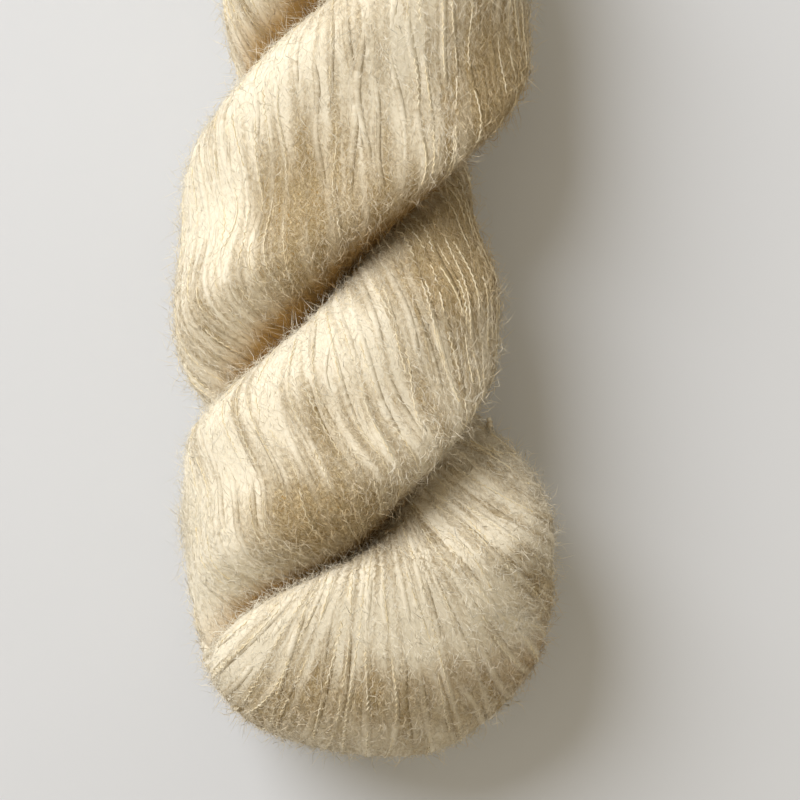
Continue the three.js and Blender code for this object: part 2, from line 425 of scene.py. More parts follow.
def fibre_tree(shapes_made):
    """Scatters crinkled fibres of these shapes over the wool, mostly lying along it"""
    tree, given = new_tree(
        "brushed_fibres", Density=1000.0, Length=0.004, Slenderness=0.012, Breadth=1.0,
        Roll=3.14, Straying=0.5, Standing=0.2, Crinkle=0.001, Seed=0,
    )
    seed = given["Seed"]

    def drawn(low, high, number):
        values = [None, None, low, high, None, None, None, None, math(tree, "ADD", seed, number)]
        return add_node(tree, "FunctionNodeRandomValue", *values, data_type="FLOAT").outputs[1]

    def scaled(direction, size):
        return vector_math(tree, "SCALE", direction, Scale=size)

    roots = add_node(
        tree, "GeometryNodeDistributePointsOnFaces", Mesh=given["Geometry"], Seed=seed,
        Density=math(tree, "MULTIPLY", named_value(tree, "open"), given["Density"]),
        distribute_method="RANDOM",
    ).outputs
    normal = roots["Normal"]
    lengthwise = named_value(tree, "lengthwise", "FLOAT_VECTOR")
    crosswise = vector_math(tree, "CROSS_PRODUCT", normal, lengthwise)
    way = math(tree, "SIGN", drawn(-1, 1, 11))
    stray = math(tree, "ADD", drawn(-1, 1, 12), drawn(-1, 1, 13))
    stray = math(tree, "MULTIPLY", stray, given["Straying"])
    stand = math(tree, "MULTIPLY", drawn(-0.35, 1, 14), given["Standing"])
    off = vector_math(tree, "ADD", scaled(crosswise, stray), scaled(normal, stand))
    direction = vector_math(tree, "ADD", scaled(lengthwise, way), off)
    kind = "FunctionNodeAlignRotationToVector"
    laid = first(tree, kind, Vector=direction, axis="X")
    flat = first(tree, kind, Rotation=laid, Vector=normal, axis="Z", pivot_axis="X")
    angle = math(tree, "MULTIPLY", drawn(-1, 1, 15), given["Roll"])
    roll = first(tree, "FunctionNodeAxisAngleToRotation", Axis=(1, 0, 0), Angle=angle)
    kind = "FunctionNodeRotateRotation"
    turned = first(tree, kind, Rotation=flat, Rotate_By=roll, rotation_space="LOCAL")
    shapes = add_node(tree, "GeometryNodeJoinGeometry")
    for bends in shapes_made:
        shape = fibre_shape(tree, bends, given["Slenderness"], given["Breadth"])
        tree.links.new(shape, shapes.inputs[0])
    fibres = geometry(
        tree, "InstanceOnPoints", Instance=shapes.outputs[0], Pick_Instance=True, Rotation=turned,
        Points=with_value(tree, roots["Points"], "shade", drawn(0, 1, 17)),
        Scale=math(tree, "MULTIPLY", given["Length"], drawn(0.55, 1.45, 16)),
    )
    separate = geometry(tree, "RealizeInstances", Geometry=fibres)
    offset = shaken(tree, geometry(tree, "InputPosition"), 700.0, 1.0, given["Crinkle"])
    crinkled = geometry(tree, "SetPosition", Geometry=separate, Offset=offset)
    return finish_tree(tree, given, crinkled, TABLE_GAP)


def add_object(name, data):
    thing = bpy.data.objects.new(name, data)
    bpy.context.scene.collection.objects.link(thing)
    return thing


def grow(name, mesh, tree, **values):
    """Runs a tree on a mesh and keeps the result as a plain mesh object"""
    source = add_object(name + ".source", mesh)
    modifier = source.modifiers.new(tree.name, "NODES")
    modifier.node_group = tree
    for item in tree.interface.items_tree:
        if item.in_out == "INPUT" and item.name.lower() in values:
            modifier[item.identifier] = values[item.name.lower()]
    graph = bpy.context.evaluated_depsgraph_get()
    made = bpy.data.meshes.new_from_object(
        source.evaluated_get(graph), preserve_all_data_layers=True, depsgraph=graph
    )
    bpy.data.objects.remove(source)
    while len(made.materials) > 1:
        made.materials.pop(index=0)  # an empty slot, which comes before the one that the tree sets
    made.name = name
    if not len(made.polygons):
        raise RuntimeError(f"{name}: no faces were made")
    piece = add_object(name, made)
    piece.visible_shadow = False  # light passes through brushed wool, and only the body shades
    return piece


# Meshes


def field_of(items, field, width=1, kind=np.float32):
    """One field of all the items of a mesh's collection, as numbers in a row"""
    values = np.zeros(len(items) * width, kind)
    items.foreach_get(field, values)
    return values


def read(mesh, name):
    return field_of(mesh.attributes[name].data, "value")


def store(mesh, name, values):
    values = np.ascontiguousarray(values, np.float32)
    kind, field = ("FLOAT_VECTOR", "vector") if values.ndim > 1 else ("FLOAT", "value")
    mesh.attributes.new(name, kind, "POINT").data.foreach_set(field, values.ravel())


def lay_bake_map(mesh, places):
    """Gives a mesh its own map for baking, one place for each corner of a face"""
    layer = mesh.uv_layers.get("OFBake") or mesh.uv_layers.new(name="OFBake")
    layer.uv.foreach_set("vector", np.ascontiguousarray(places, np.float32).ravel())


def chains_mesh(name, chains):
    """Chains of points as a mesh of edges. A chain holds its points, outward directions, thickness
    and what its material reads, and the yarns' chains their places in the wool."""
    counts = [len(chain["points"]) for chain in chains]
    number = np.repeat(np.arange(len(chains)), counts)
    start = np.flatnonzero(number[1:] == number[:-1])
    joined = {key: np.concatenate([chain[key] for chain in chains]) for key in chains[0]}
    mesh = bpy.data.meshes.new(name)
    edges = np.stack([start, start + 1], 1)
    mesh.from_pydata(to_frame(joined["points"]).tolist(), edges.tolist(), [])
    store(mesh, "thickness", joined["thickness"] * MM)
    for key in ("outward", "deep", "tan", "shade"):
        store(mesh, key, joined[key])
    store(mesh, "strip", number)
    if "wool" in joined:
        store(mesh, "wool_place", wool_places(joined["wool"]))
    travelled = np.concatenate([distances(chain["points"]) for chain in chains])
    store(mesh, "travelled", travelled)
    return mesh


# The wool of the strands and of the fold


# Painted shade: the yarns are painted darker towards the crease, widely on the side towards the fold,
# which lies away from the lamp. The painted shade starts this far outside the other strand, in
# millimetres, on the side towards the fold and on the shoulder, and is darkest this far inside it.
CREASE_SHADE = (-30.0, -3.5)
CREASE_DARK = 1.9


def crease_shade(covered, shoulder, points):
    # The share of painted shade towards a crease, between 0 and 1
    start = CREASE_SHADE[0] + (CREASE_SHADE[1] - CREASE_SHADE[0]) * shoulder
    # Less painted shade low on the hank and at the left end of the crease, where the lamp reaches in
    inward = smooth_step(points[..., 2], 17, 38) * smooth_step(points[..., 0], -37, -20)
    return (0.1 + 0.9 * inward) * smooth_step(covered, start, CREASE_DARK)


# Patches where the wool is painted tan, partly its own tan and partly painted shade, or, with a
# negative share, paler as painted light: the middle, how far it reaches across and along the hank,
# in millimetres, and the share
TAN_AND_PAINTED_LIGHT_PATCHES = (
    (-34, 109, 8, 8, 0.3), (-12.5, 137, 10, 19, 0.8), (-16, 117, 12, 9, 0.35),
    (37, 164, 10, 22, 1.2), (10, 136, 12, 10, 0.5), (27, 125, 12, 13, 1.6), (30, 98, 10, 12, 0.1),
    (-5, 82, 8, 15, 0.3), (-6, 61, 16, 9, 1.1), (-18, 14, 13, 7, 0.5), (6, 16, 18, 8, 0.55),
    (30, 13, 14, 8, 0.25), (41, 51, 3.5, 3, 0.6), (46, 44, 3.5, 3.5, 0.9), (50, 38, 3, 4, 0.9),
    (-34, 139, 11, 16, -0.5), (-22, 167, 14, 14, -0.5), (12, 176, 9, 12, -0.4),
    (-6, 104, 16, 10, -0.6), (-34, 72, 10, 14, -0.5), (-33, 46, 8, 10, -0.5),
    (-25, 27, 12, 12, -0.4), (13, 34, 18, 9, -0.9), (40, 48, 9, 12, -0.35),
)
PLAIN_TAN = 0.4
YARN_TAN = 0.3
STREAK = 0.12


def tan_with_painted_light(points, share=PLAIN_TAN):
    """How tan the wool is at these points, with the patches' painted shade and light, and this share
    where there are no patches
    """
    high = smooth_step(points[:, 2], 12, 30)
    for x, y, across, lengthwise, more in TAN_AND_PAINTED_LIGHT_PATCHES:
        off = ((points[:, 0] - x) / across) ** 2 + ((points[:, 1] - y) / lengthwise) ** 2
        share = share + more * high * np.exp(-off)
    return np.clip(share, 0, 1.35)


def tan_share(random, points):
    """How tan a yarn is at each of its points, with the painted shade and light of the patches"""
    share = YARN_TAN + random.uniform(-STREAK, STREAK)
    return tan_with_painted_light(points, share + waves(random, 18, 70, 3, STREAK)(distances(points)))


GIRTH = 36.0


def wool_places(lies):
    """Places in the wool from the distance along it, the distance across it and the side: 1 for the
    strands, where the pattern closes round them, and -1 for the fan of the fold"""
    along_it, across, side = lies.T
    turned = [along_it, GIRTH * np.cos(across / GIRTH), GIRTH * np.sin(across / GIRTH)]
    fanned = [along_it + 2 * LENGTH, across, 0 * across]
    return np.where(side[:, None] > 0, np.stack(turned, 1), np.stack(fanned, 1))


def lie_of_wool(points, chains):
    """The direction of the wool at points, and a smooth place in it in millimetres, along the yarns
    and across them, both from the nearest yarn"""
    away = unit(np.concatenate([np.gradient(chain["points"], axis=0) for chain in chains]))
    runs, out, lies = (
        np.concatenate([chain[key] for chain in chains]) for key in ("points", "outward", "wool")
    )
    tree = KDTree(len(runs))
    for number, point in enumerate(runs.tolist()):
        tree.insert(point, number)
    tree.balance()
    near = np.array([tree.find(point)[1] for point in points.tolist()])
    off, away, lies = points - runs[near], away[near], lies[near].T
    along_it = lies[0] + (off * away).sum(1)
    across = lies[1] + lies[2] * (off * np.cross(out[near], away)).sum(1)
    return away, wool_places(np.stack([along_it, across, lies[2]], 1))


# The felted skin


BODY_BELOW = 0.05
BODY_AROUND = 150
RING_STEP = 1.9
MAP_EDGE = 0.02


def body_grid():
    """The hank's bare form under its yarns, as rings of points in millimetres, and the share of
    painted shade towards a crease at each point, fading out round the tip of the fold"""
    cap = 1 - np.cos(np.arange(1, 10) / 10 * np.pi / 2)
    rings = np.concatenate([
        FOLD_CAP * cap,
        np.arange(FOLD_CAP, LENGTH - NUB_CAP, RING_STEP),
        LENGTH - NUB_CAP * cap[::-1],
    ])
    turns = np.linspace(0, 2 * np.pi, BODY_AROUND, endpoint=False)
    y, angle = np.meshgrid(rings, turns, indexing="ij")
    spun = angle + np.radians(along("turn", y))
    reach_a, reach_b = (reach_towards(strand, y, spun) for strand in "ab")
    reach = np.maximum(reach_a, reach_b)
    grid = around_axis(y, spun, np.maximum(reach - BODY_BELOW, 0.3 * reach))
    grid[..., 2] = np.maximum(grid[..., 2], BODY_BELOW)
    on_a = reach_a > reach_b
    covered = np.where(on_a, depth_inside("b", grid), depth_inside("a", grid))
    shoulder = np.where(on_a, shoulder_side("a", y, spun), shoulder_side("b", y, spun))
    return grid, crease_shade(covered, shoulder, grid) * smooth_step(grid[..., 1], 14, 30)


def ring_faces(rings, around):
    """Quads between neighbouring rings, then triangles from the first and last ring to two tips,
    and the place of each of their corners on a map"""
    tips = {-1: rings * around, rings: rings * around + 1}
    faces, places = [], []
    for i in (*range(rings - 1), -1, rings - 1):
        for j in range(around):
            corners = [(i, j), (i + 1, j), (i + 1, j + 1), (i, j + 1)]
            if i == -1:
                corners = [(i, j + 0.5), (0, j), (0, j + 1)]
            if i == rings - 1:
                corners = [(rings, j + 0.5), (i, j + 1), (i, j)]
            faces.append([tips.get(ring, ring * around + column % around)
                          for ring, column in corners])
            places += corners
    ring, column = np.array(places).T
    up = MAP_EDGE + (1 - 2 * MAP_EDGE) * (ring + 1) / (rings + 1)
    return faces, np.stack([column / around, up], 1)


def make_body(settings, chains):
    """The felted skin of the hank, which the yarns come out of"""
    grid, deep = body_grid()
    tips = [[along("shift", y), y, along("height", y)] for y in (BODY_BELOW, LENGTH - BODY_BELOW)]
    points = np.concatenate([grid.reshape(-1, 3), tips])
    mesh = bpy.data.meshes.new("hank_body")
    faces, places = ring_faces(*grid.shape[:2])
    mesh.from_pydata(to_frame(points).tolist(), [], faces)
    mesh.polygons.foreach_set("use_smooth", np.ones(len(mesh.polygons), bool))
    away, place = lie_of_wool(points, chains)
    faces_up = field_of(mesh.vertex_normals, "vector", 3)[2::3]
    # deep is the painted shade towards the creases; tan holds the patches' tan with painted shade and
    # light
    store(mesh, "deep", np.append(deep.ravel(), [0, 0]))
    store(mesh, "tan", np.append(tan_with_painted_light(points[:-2]), [PLAIN_TAN, PLAIN_TAN]))
    store(mesh, "lengthwise", away)
    store(mesh, "wool_place", place)
    store(mesh, "open", open_to_the_brush(points, faces_up))
    mesh.materials.append(wool("hank_felted_wool", settings, "wool_place"))
    lay_bake_map(mesh, places)
    return add_object("hank_body", mesh)


# The yarns


# Yarns end this deep inside the other strand, and dip this far into the wool at a hidden end and at
# a loose one, in millimetres.
BURIED = 5.0
HIDDEN_DIP, LOOSE_DIP = 3.0, 1.2
FLATNESS = 0.4
BUNDLE_DRIFT = 0.5
FOLD_START = 14.0


def yarn_distances(step):
    cap = np.linspace(0, 1, 8)[1:]
    return np.concatenate([
        np.arange(FOLD_START, LENGTH - NUB_CAP, step),
        LENGTH - NUB_CAP + NUB_CAP * 0.985 * np.sin(cap * np.pi / 2),
    ])


def keep_runs(points, keep, *others):
    """The longest stretches of a chain that are kept, each with the same stretch of the others"""
    edges = np.flatnonzero(np.diff(np.concatenate([[0], keep.astype(int), [0]])))
    for start, stop in edges.reshape(-1, 2):
        if stop - start >= 4:
            yield tuple(values[start:stop] for values in (points, *others))


def tapered(count, share, least):
    """Thickness along a loose yarn, which thins out towards both its ends"""
    to_end = np.minimum(np.arange(count), np.arange(count)[::-1]) / max(count * share, 1)
    return least + (1 - least) * smooth_step(to_end, 0, 1)


def thickness_of(settings, random, layer):
    return settings.yarn_thickness / MM / 2 * random.uniform(*layer.thick)


def cut(random, layer, points, keep, out, thickness, deep, wool):
    """A chain for each stretch of a yarn that shows"""
    for run, out, thick, near, lies in keep_runs(points, keep, out, thickness, deep, wool):
        if layer.loose:
            thick = thick * tapered(len(run), 0.4, 0.15)
            run = run - out * (LOOSE_DIP * (1 - tapered(len(run), 0.3, 0)))[:, None]
        yield {
            "points": run, "outward": out, "thickness": thick,
            "shade": np.full(len(run), random.uniform()),
            "deep": near, "tan": tan_share(random, run), "wool": lies,
        }


def wound_yarns(settings, random, layer):
    """Yarns that wind along both strands, cut off where they run deep inside the other strand"""
    chains = []
    y = yarn_distances(layer.step)
    for strand, other in ("ab", "ba"):
        for number in range(layer.count):
            place = 2 * np.pi * (number + random.uniform(-0.2, 0.2)) / layer.count
            thickness = thickness_of(settings, random, layer)
            bend = waves(random, 20, 80, 3, layer.wander)
            bob = waves(random, 14, 60, 3, layer.bob)
            slant = layer.slant * random.uniform(-1, 1) * (y - 130)
            bundle = BUNDLE_DRIFT * np.sin(y / 17 + 3 * place) * np.sin(y / 41 + 7 * place)
            lane = place + (bend(y) + bundle + slant) / GIRTH
            surface = wound_points(strand, y, lane)
            shoulder = shoulder_side(strand, y, lane - LEAN * np.radians(along("turn", y)))
            normal = outward_normals(lambda p: depth_inside(strand, p), surface)
            fold_end = random.uniform(16, 32) if strand == "b" else random.uniform(58, 74)
            through = number % 3 == 0
            nub_end = 287.0 if through else random.uniform(252, 264)
            tuck = HIDDEN_DIP * smooth_step(fold_end + 8 - y, 0, 8)
            if not through:
                tuck = tuck + 4 * smooth_step(y, nub_end - 7, nub_end)
            points = surface + normal * (layer.lift + bob(y) - tuck)[:, None]
            covered = depth_inside(other, points)
            points[:, 2] = np.maximum(points[:, 2], 0.7 * thickness * FLATNESS)
            keep = (covered < BURIED) & (y > fold_end) & (y < nub_end)
            if layer.loose:
                start = random.uniform(14, 250)
                keep &= (y > start) & (y < start + random.uniform(25, 90))
            slim = thickness * (1 - 0.35 * smooth_step(y, 255, 285))
            # Painted shade towards the crease
            deep = crease_shade(covered, shoulder, points)
            wool = np.stack([y, GIRTH * lane, 1 + 0 * y], 1)
            chains += cut(random, layer, points, keep, normal, slim, deep, wool)
    return chains


def fan_measure():
    """How far across the fan each of its rows is, by the mean of its two ends"""
    steps = np.linalg.norm(np.diff(FAN.reshape(-1, 2, 2), axis=0), axis=2).mean(1)
    whole = np.concatenate([[0], np.cumsum(steps)])
    return whole / whole[-1], whole[-1]


FAN_SHARES, FAN_ACROSS = fan_measure()


def fan_line(across):
    """Start and end of a fan yarn, seen from above, at a share of the way across the fan"""
    columns = [np.interp(across, FAN_SHARES, FAN[:, column]) for column in range(4)]
    return np.stack(columns, -1)


def fan_points(across, angles):
    """Points of the fold's surface along yarns of the fan. Each yarn lies in an upright plane, and
    its points are met by rays from one point inside it, from the crease over the edge to below."""
    line = fan_line(across)
    start, end = line[..., :2], line[..., 2:]
    away = unit(end - start)
    middle = start + (end - start) * FAN_BACK
    c, s = np.cos(angles), np.sin(angles)
    ray = np.concatenate([away * c[..., None], s[..., None]], -1)
    centre = np.concatenate([middle, np.full(middle.shape[:-1] + (1,), FAN_HEIGHT)], -1)
    found = []
    for strand in "ab":
        low = np.zeros(angles.shape)
        high = np.full(angles.shape, 70.0)
        for _ in range(22):
            half = (low + high) / 2
            inside = depth_inside(strand, centre + ray * half[..., None]) > 0
            low = np.where(inside, half, low)
            high = np.where(inside, high, half)
        found.append(low)
    below = smooth_step(-angles, -2 * IN_CREASE, -IN_CREASE)
    reach = found[0] + np.maximum(found[1] - found[0], 0) * below
    return centre + ray * reach[..., None]


def fan_yarns(settings, random, layer):
    """Yarns that fan out over the fold and go round its end to the underside"""
    chains = []
    angles = np.radians(np.arange(138, -112, -layer.fan_step, float))
    travelled = np.linspace(0, 120, len(angles))
    for number in range(layer.fan):
        place = number + 0.5 + random.uniform(-0.28, 0.28)
        bend = waves(random, 30, 110, 3, layer.wander)
        bob = waves(random, 14, 60, 3, layer.bob)
        across = np.clip(place / layer.fan, 0, 1)
        across = np.clip(across + bend(travelled) / FAN_ACROSS, 0, 1)
        surface = fan_points(across, angles)
        normal = outward_normals(depth_in_hank, surface)
        thickness = thickness_of(settings, random, layer)
        last = np.radians(random.uniform(-105, -75))
        tuck = HIDDEN_DIP * smooth_step(-angles, -last - 0.3, -last)
        points = surface + normal * (layer.lift + bob(travelled) - tuck)[:, None]
        covered = depth_inside("b", points)
        points[:, 2] = np.maximum(points[:, 2], 0.7 * thickness * FLATNESS)
        keep = ((covered < BURIED) | (angles < IN_CREASE)) & (angles > last)
        if layer.loose:
            start = random.uniform(-60, 110)
            keep &= np.abs(angles - np.radians(start)) < np.radians(random.uniform(20, 55))
        wide = thickness * (0.85 + 0.35 * smooth_step(travelled, 20, 60))
        # Painted shade where the fan runs into the crease under the second lobe
        deep = crease_shade(np.where(angles > IN_CREASE, covered, -99), 1.0, points)
        wool = np.stack([travelled, across * FAN_ACROSS, -1 + 0 * across], 1)
        chains += cut(random, layer, points, keep, normal, wide, deep, wool)
    return chains


# Each layer's yarns: how many wind along a strand, the steps along them, how many fan out over the
# fold, the steps along those in degrees, the range of their thickness as a share, how far they
# wander and bob, how high they lie and how much they slant, whether they are loose, and their sides
Yarns = namedtuple("Yarns", "count step fan fan_step thick wander bob lift slant loose sides")
YARN_LAYERS = {
    "hank_yarns_wound": Yarns(60, 3.2, 0, 5, (0.5, 0.8), 0.8, 0.16, -0.3, 0, False, 6),
    "hank_yarns_fold": Yarns(0, 3.2, 36, 5, (0.5, 0.8), 1.2, 0.16, -0.3, 0, False, 6),
    "hank_yarns_loose": Yarns(50, 3.4, 20, 5.5, (0.25, 0.45), 1.1, 0.2, -0.08, 0.02, True, 5),
}


def spin(name, chains, sides, flatness, material):
    """Threads along chains, each with its own strip of the bake map, its length across and its
    sides up the strip, and a place for its pattern: millimetres along it and round it"""
    mesh = chains_mesh(name + ".paths", chains)
    values = {"sides": sides, "flatness": flatness, "material": material}
    piece = grow(name, mesh, thread_tree(), **values)
    mesh = piece.data
    corner = field_of(mesh.loops, "vertex_index", kind=np.int32)
    strip, travelled, turn = (read(mesh, key) for key in ("strip", "travelled", "round"))
    up = (strip + 0.08 + 0.84 * turn) / len(chains)
    places = np.stack([0.01 + 0.98 * travelled / travelled.max(), up], 1)
    lay_bake_map(mesh, places[corner])
    girth = 2 * np.pi * turn * read(mesh, "thickness").mean() / MM
    store(mesh, "thread_place", np.stack([travelled, girth, 5.3 * strip], 1))
    return piece


def make_yarns(settings):
    """The brushed yarns: those wound along the strands, those of the fold and loose ones on top"""
    random = np.random.default_rng(settings.seed)
    material = wool("hank_brushed_yarn", settings, "thread_place", "round")
    pieces = []
    for name, layer in YARN_LAYERS.items():
        chains = wound_yarns(settings, random, layer) + fan_yarns(settings, random, layer)
        pieces.append((spin(name, chains, layer.sides, FLATNESS, material), chains))
    return pieces


# The binder threads


BINDER_STEP = 0.55
BINDER_SHARE = 0.55
BINDER_LEAST = 12


def resampled(values, travelled, at):
    """Values along a chain, smoothly between its points, at other distances along it"""
    slope = np.gradient(values, travelled, axis=0)
    low = np.clip(np.searchsorted(travelled, at) - 1, 0, len(travelled) - 2)
    span = (travelled[low + 1] - travelled[low])[:, None]
    t = ((at - travelled[low]) / span[:, 0])[:, None]
    return smoothly(t, span, values[low], values[low + 1], slope[low], slope[low + 1])


def make_binders(settings, yarns):
    """Crimped threads that hold the brushed yarns together, along some of them"""
    random = np.random.default_rng(settings.seed + 1)
    chains = []
    for chain in yarns:
        if random.uniform() > BINDER_SHARE:
            continue
        travelled = distances(chain["points"])
        at = np.arange(0, travelled[-1], BINDER_STEP)
        if len(at) < BINDER_LEAST:
            continue
        path = resampled(chain["points"], travelled, at)
        outward = unit(resampled(chain["outward"], travelled, at))
        sideways = unit(np.cross(np.gradient(path, axis=0), outward))
        crimp = waves(random, 1.3, 2.2, 3, 0.22)
        wander = waves(random, 30, 80, 3, 0.4)
        dip = waves(random, 8, 36, 3, 0.45)
        radius = np.interp(at, travelled, chain["thickness"])
        roll = wander(at) / radius
        over = radius * FLATNESS + 0.1 + np.minimum(dip(at), 0.0)
        path = path + outward * (over * np.cos(roll))[:, None]
        path = path + sideways * (radius * np.sin(roll) + crimp(at))[:, None]
        path = path + outward * waves(random, 1.4, 2.4, 2, 0.05)(at)[:, None]
        bulge = 1 + 0.25 * waves(random, 1.2, 1.9, 2, 1.1)(at)
        slim = settings.binder_thickness / MM / 2 * bulge
        # The painted crease shade of the yarn below; binders stop where it is darkest
        deep = np.interp(at, travelled, chain["deep"])
        keep = (path[:, 2] > 3) & (dip(at) > -0.2) & (deep < 0.8)
        for run, out, thick, near in keep_runs(path, keep, outward, slim, deep):
            chains.append({
                "points": run, "outward": out, "thickness": thick,
                "shade": np.full(len(run), random.uniform()),
                "deep": near, "tan": np.zeros(len(run)),
            })
    return spin("hank_binder_threads", chains, 3, 1.0, binder_material(settings))


# The brushed fibres


# Each layer's fibres: their bends, how many there are, their length as a share, and what their tree
# is given
FIBRE_KEYS = ("slenderness", "breadth", "roll", "straying", "standing", "crinkle")
FUZZ_LAYERS = {
    "hank_felt": (SHORT_FIBRES, 30000, 0.65, 0.02, 1.6, 0.7, 0.8, 0.15, 0.0016),
    "hank_felt_upper": (SHORT_FIBRES, 30000, 0.75, 0.013, 1.3, 1.5, 1.2, 0.6, 0.002),
    "hank_fibres": (LONG_FIBRES, 13000, 1.1, 0.009, 1.2, 3.1, 0.9, 0.35, 0.0028),
    "hank_haze": (SHORT_FIBRES, 10500, 0.9, 0.007, 1.0, 3.1, 1.5, 0.8, 0.003),
    "hank_halo": (SHORT_FIBRES, 31000, 1.3, 0.0036, 1.0, 3.1, 1.3, 1.5, 0.004),
}

# Places where brushed fibres stand up in a pale tuft: x, y and how far it reaches, in millimetres
TUFTS = ((42.5, 34.0, 4.0), (22.5, 159.0, 4.5), (-38.0, 60.0, 5.0))


def open_to_the_brush(points, faces_up):
    """How many fibres stand out of the wool at these points, as a share"""
    share = 0.15 + 0.85 * smooth_step(points[:, 2], 2, 12)
    share *= 0.2 + 0.8 * smooth_step(faces_up, -0.7, 0.0)
    inside = np.minimum(depth_inside("a", points), depth_inside("b", points))
    share *= 0.1 + 0.9 * smooth_step(-inside, -0.5, 3.5)
    for x, y, reach in TUFTS:
        near = np.exp(-((points[:, 0] - x) ** 2 + (points[:, 1] - y) ** 2) / reach**2)
        share *= 1 + 2.5 * near * smooth_step(points[:, 2], 15, 25)
    return share


def brushed_area(mesh):
    """The area of a mesh, weighted by its share of fibres"""
    mesh.calc_loop_triangles()
    corners = field_of(mesh.loop_triangles, "vertices", 3, np.int32).reshape(-1, 3)
    area = field_of(mesh.loop_triangles, "area")
    return (area * read(mesh, "open")[corners].mean(1)).sum()


def bake_cells(mesh, bends):
    """Each fibre has its own cell of the map"""
    corners = len(mesh.loops)
    each = 18 + 12 * (bends - 1)
    fibres = -(-corners // each)
    side = int(np.ceil(np.sqrt(fibres)))
    number = np.arange(corners) // each
    place = np.arange(corners) % each
    inner = np.stack([0.15 + 0.7 * (place % 4 > 1), 0.15 + 0.7 * (place % 4 % 3 > 0)], 1)
    cell = np.stack([number % side, number // side], 1)
    lay_bake_map(mesh, (cell + inner) / side)


def make_fuzz(settings, body):
    """The brushed fibres, in layers: short felt, longer lying fibres and a standing halo"""
    density = settings.fibre_share / brushed_area(body.data)
    material = fibre_material(settings)
    for number, (name, (shapes, count, length, *sizes)) in enumerate(FUZZ_LAYERS.items()):
        ground = body.data.copy()
        ground.uv_layers.remove(ground.uv_layers["OFBake"])
        ground.materials.clear()
        piece = grow(
            name, ground, fibre_tree(shapes), **dict(zip(FIBRE_KEYS, sizes)),
            density=count * density, length=settings.fibre_length * length,
            seed=settings.seed + 100 * number, material=material,
        )
        bake_cells(piece.data, len(shapes[0]))
        yield piece


# Materials


def new_material(name, roughness, sheen, specular):
    material = bpy.data.materials.new(name)
    material.use_nodes = True
    tree = material.node_tree
    shader = tree.nodes["Principled BSDF"]
    shader.inputs["Roughness"].default_value = roughness
    shader.inputs["Sheen Weight"].default_value = sheen
    shader.inputs["Sheen Roughness"].default_value = 0.45
    shader.inputs["Specular IOR Level"].default_value = specular
    return material, tree, shader


def object_noise(tree, scale):
    return noise(tree, add_node(tree, "ShaderNodeTexCoord").outputs["Object"], scale, 2.0)


def blend(tree, share, low, high):
    """One colour turns into another; each is a link or three numbers"""
    ends = [c if isinstance(c, bpy.types.NodeSocket) else (*c, 1.0) for c in (low, high)]
    values = [share, None, None, None, None, None, *ends]
    return add_node(tree, "ShaderNodeMix", *values, data_type="RGBA").outputs[2]


def spread(tree, value, low, high):
    return first(tree, "ShaderNodeMapRange", Value=value, From_Min=low, From_Max=high, clamp=True)


def attribute(tree, name, output="Fac"):
    return add_node(tree, "ShaderNodeAttribute", attribute_name=name).outputs[output]


def painted(material, tree, shader, colour, settings):
    """Gives a material its colour, with painted shade: tan towards a crease and brown in it"""
    deep = attribute(tree, "deep")
    tan = blend(tree, spread(tree, deep, 0.0, 0.45), colour, settings.shade_colour)
    brown = blend(tree, spread(tree, deep, 0.3, 0.85), tan, settings.painted_crease_shade_colour)
    tree.links.new(brown, shader.inputs["Base Color"])
    return material


def off_middle(tree, value):
    return math(tree, "ABSOLUTE", math(tree, "SUBTRACT", value, 0.5))


def fibre_strokes(tree, place, scale, stretch, thin, tilt):
    """Thin, curling lines of 1 on 0, like fibres, that run mostly along the first axis"""
    turned = first(
        tree, "ShaderNodeVectorRotate", Vector=place, Axis=(0, 0, 1), Angle=tilt,
        rotation_type="AXIS_ANGLE",
    )
    drawn = vector_math(tree, "MULTIPLY", turned, (1 / stretch, 1, 1))
    off = math(tree, "DIVIDE", off_middle(tree, noise(tree, drawn, scale, 2.0, 0.9)), thin)
    return math(tree, "MAXIMUM", math(tree, "SUBTRACT", 1.0, off), 0.0)


# How high the drawn fibres stand in metres, and each of their layers: its scale, stretch, thinness
# and tilt
RELIEF = 0.0002
STROKES = ((1.6, 2.4, 0.06, 0.25), (2.2, 1.9, 0.07, -0.5), (3.0, 1.6, 0.08, 0.8))


def felted(tree, place):
    """Brushed fibres that cross each other, as a height between 0 and 1"""
    highest = 0.0
    for stroke in STROKES:
        highest = math(tree, "MAXIMUM", highest, fibre_strokes(tree, place, *stroke))
    return highest


def streaks(tree, place, across, length):
    """Soft streaks along the first axis, this wide and long in millimetres, between 0 and 1"""
    drawn = vector_math(tree, "MULTIPLY", place, (1 / length, 1 / across, 1 / across))
    return spread(tree, noise(tree, drawn, 1.0, 1.0, 0.4), 0.3, 0.7)


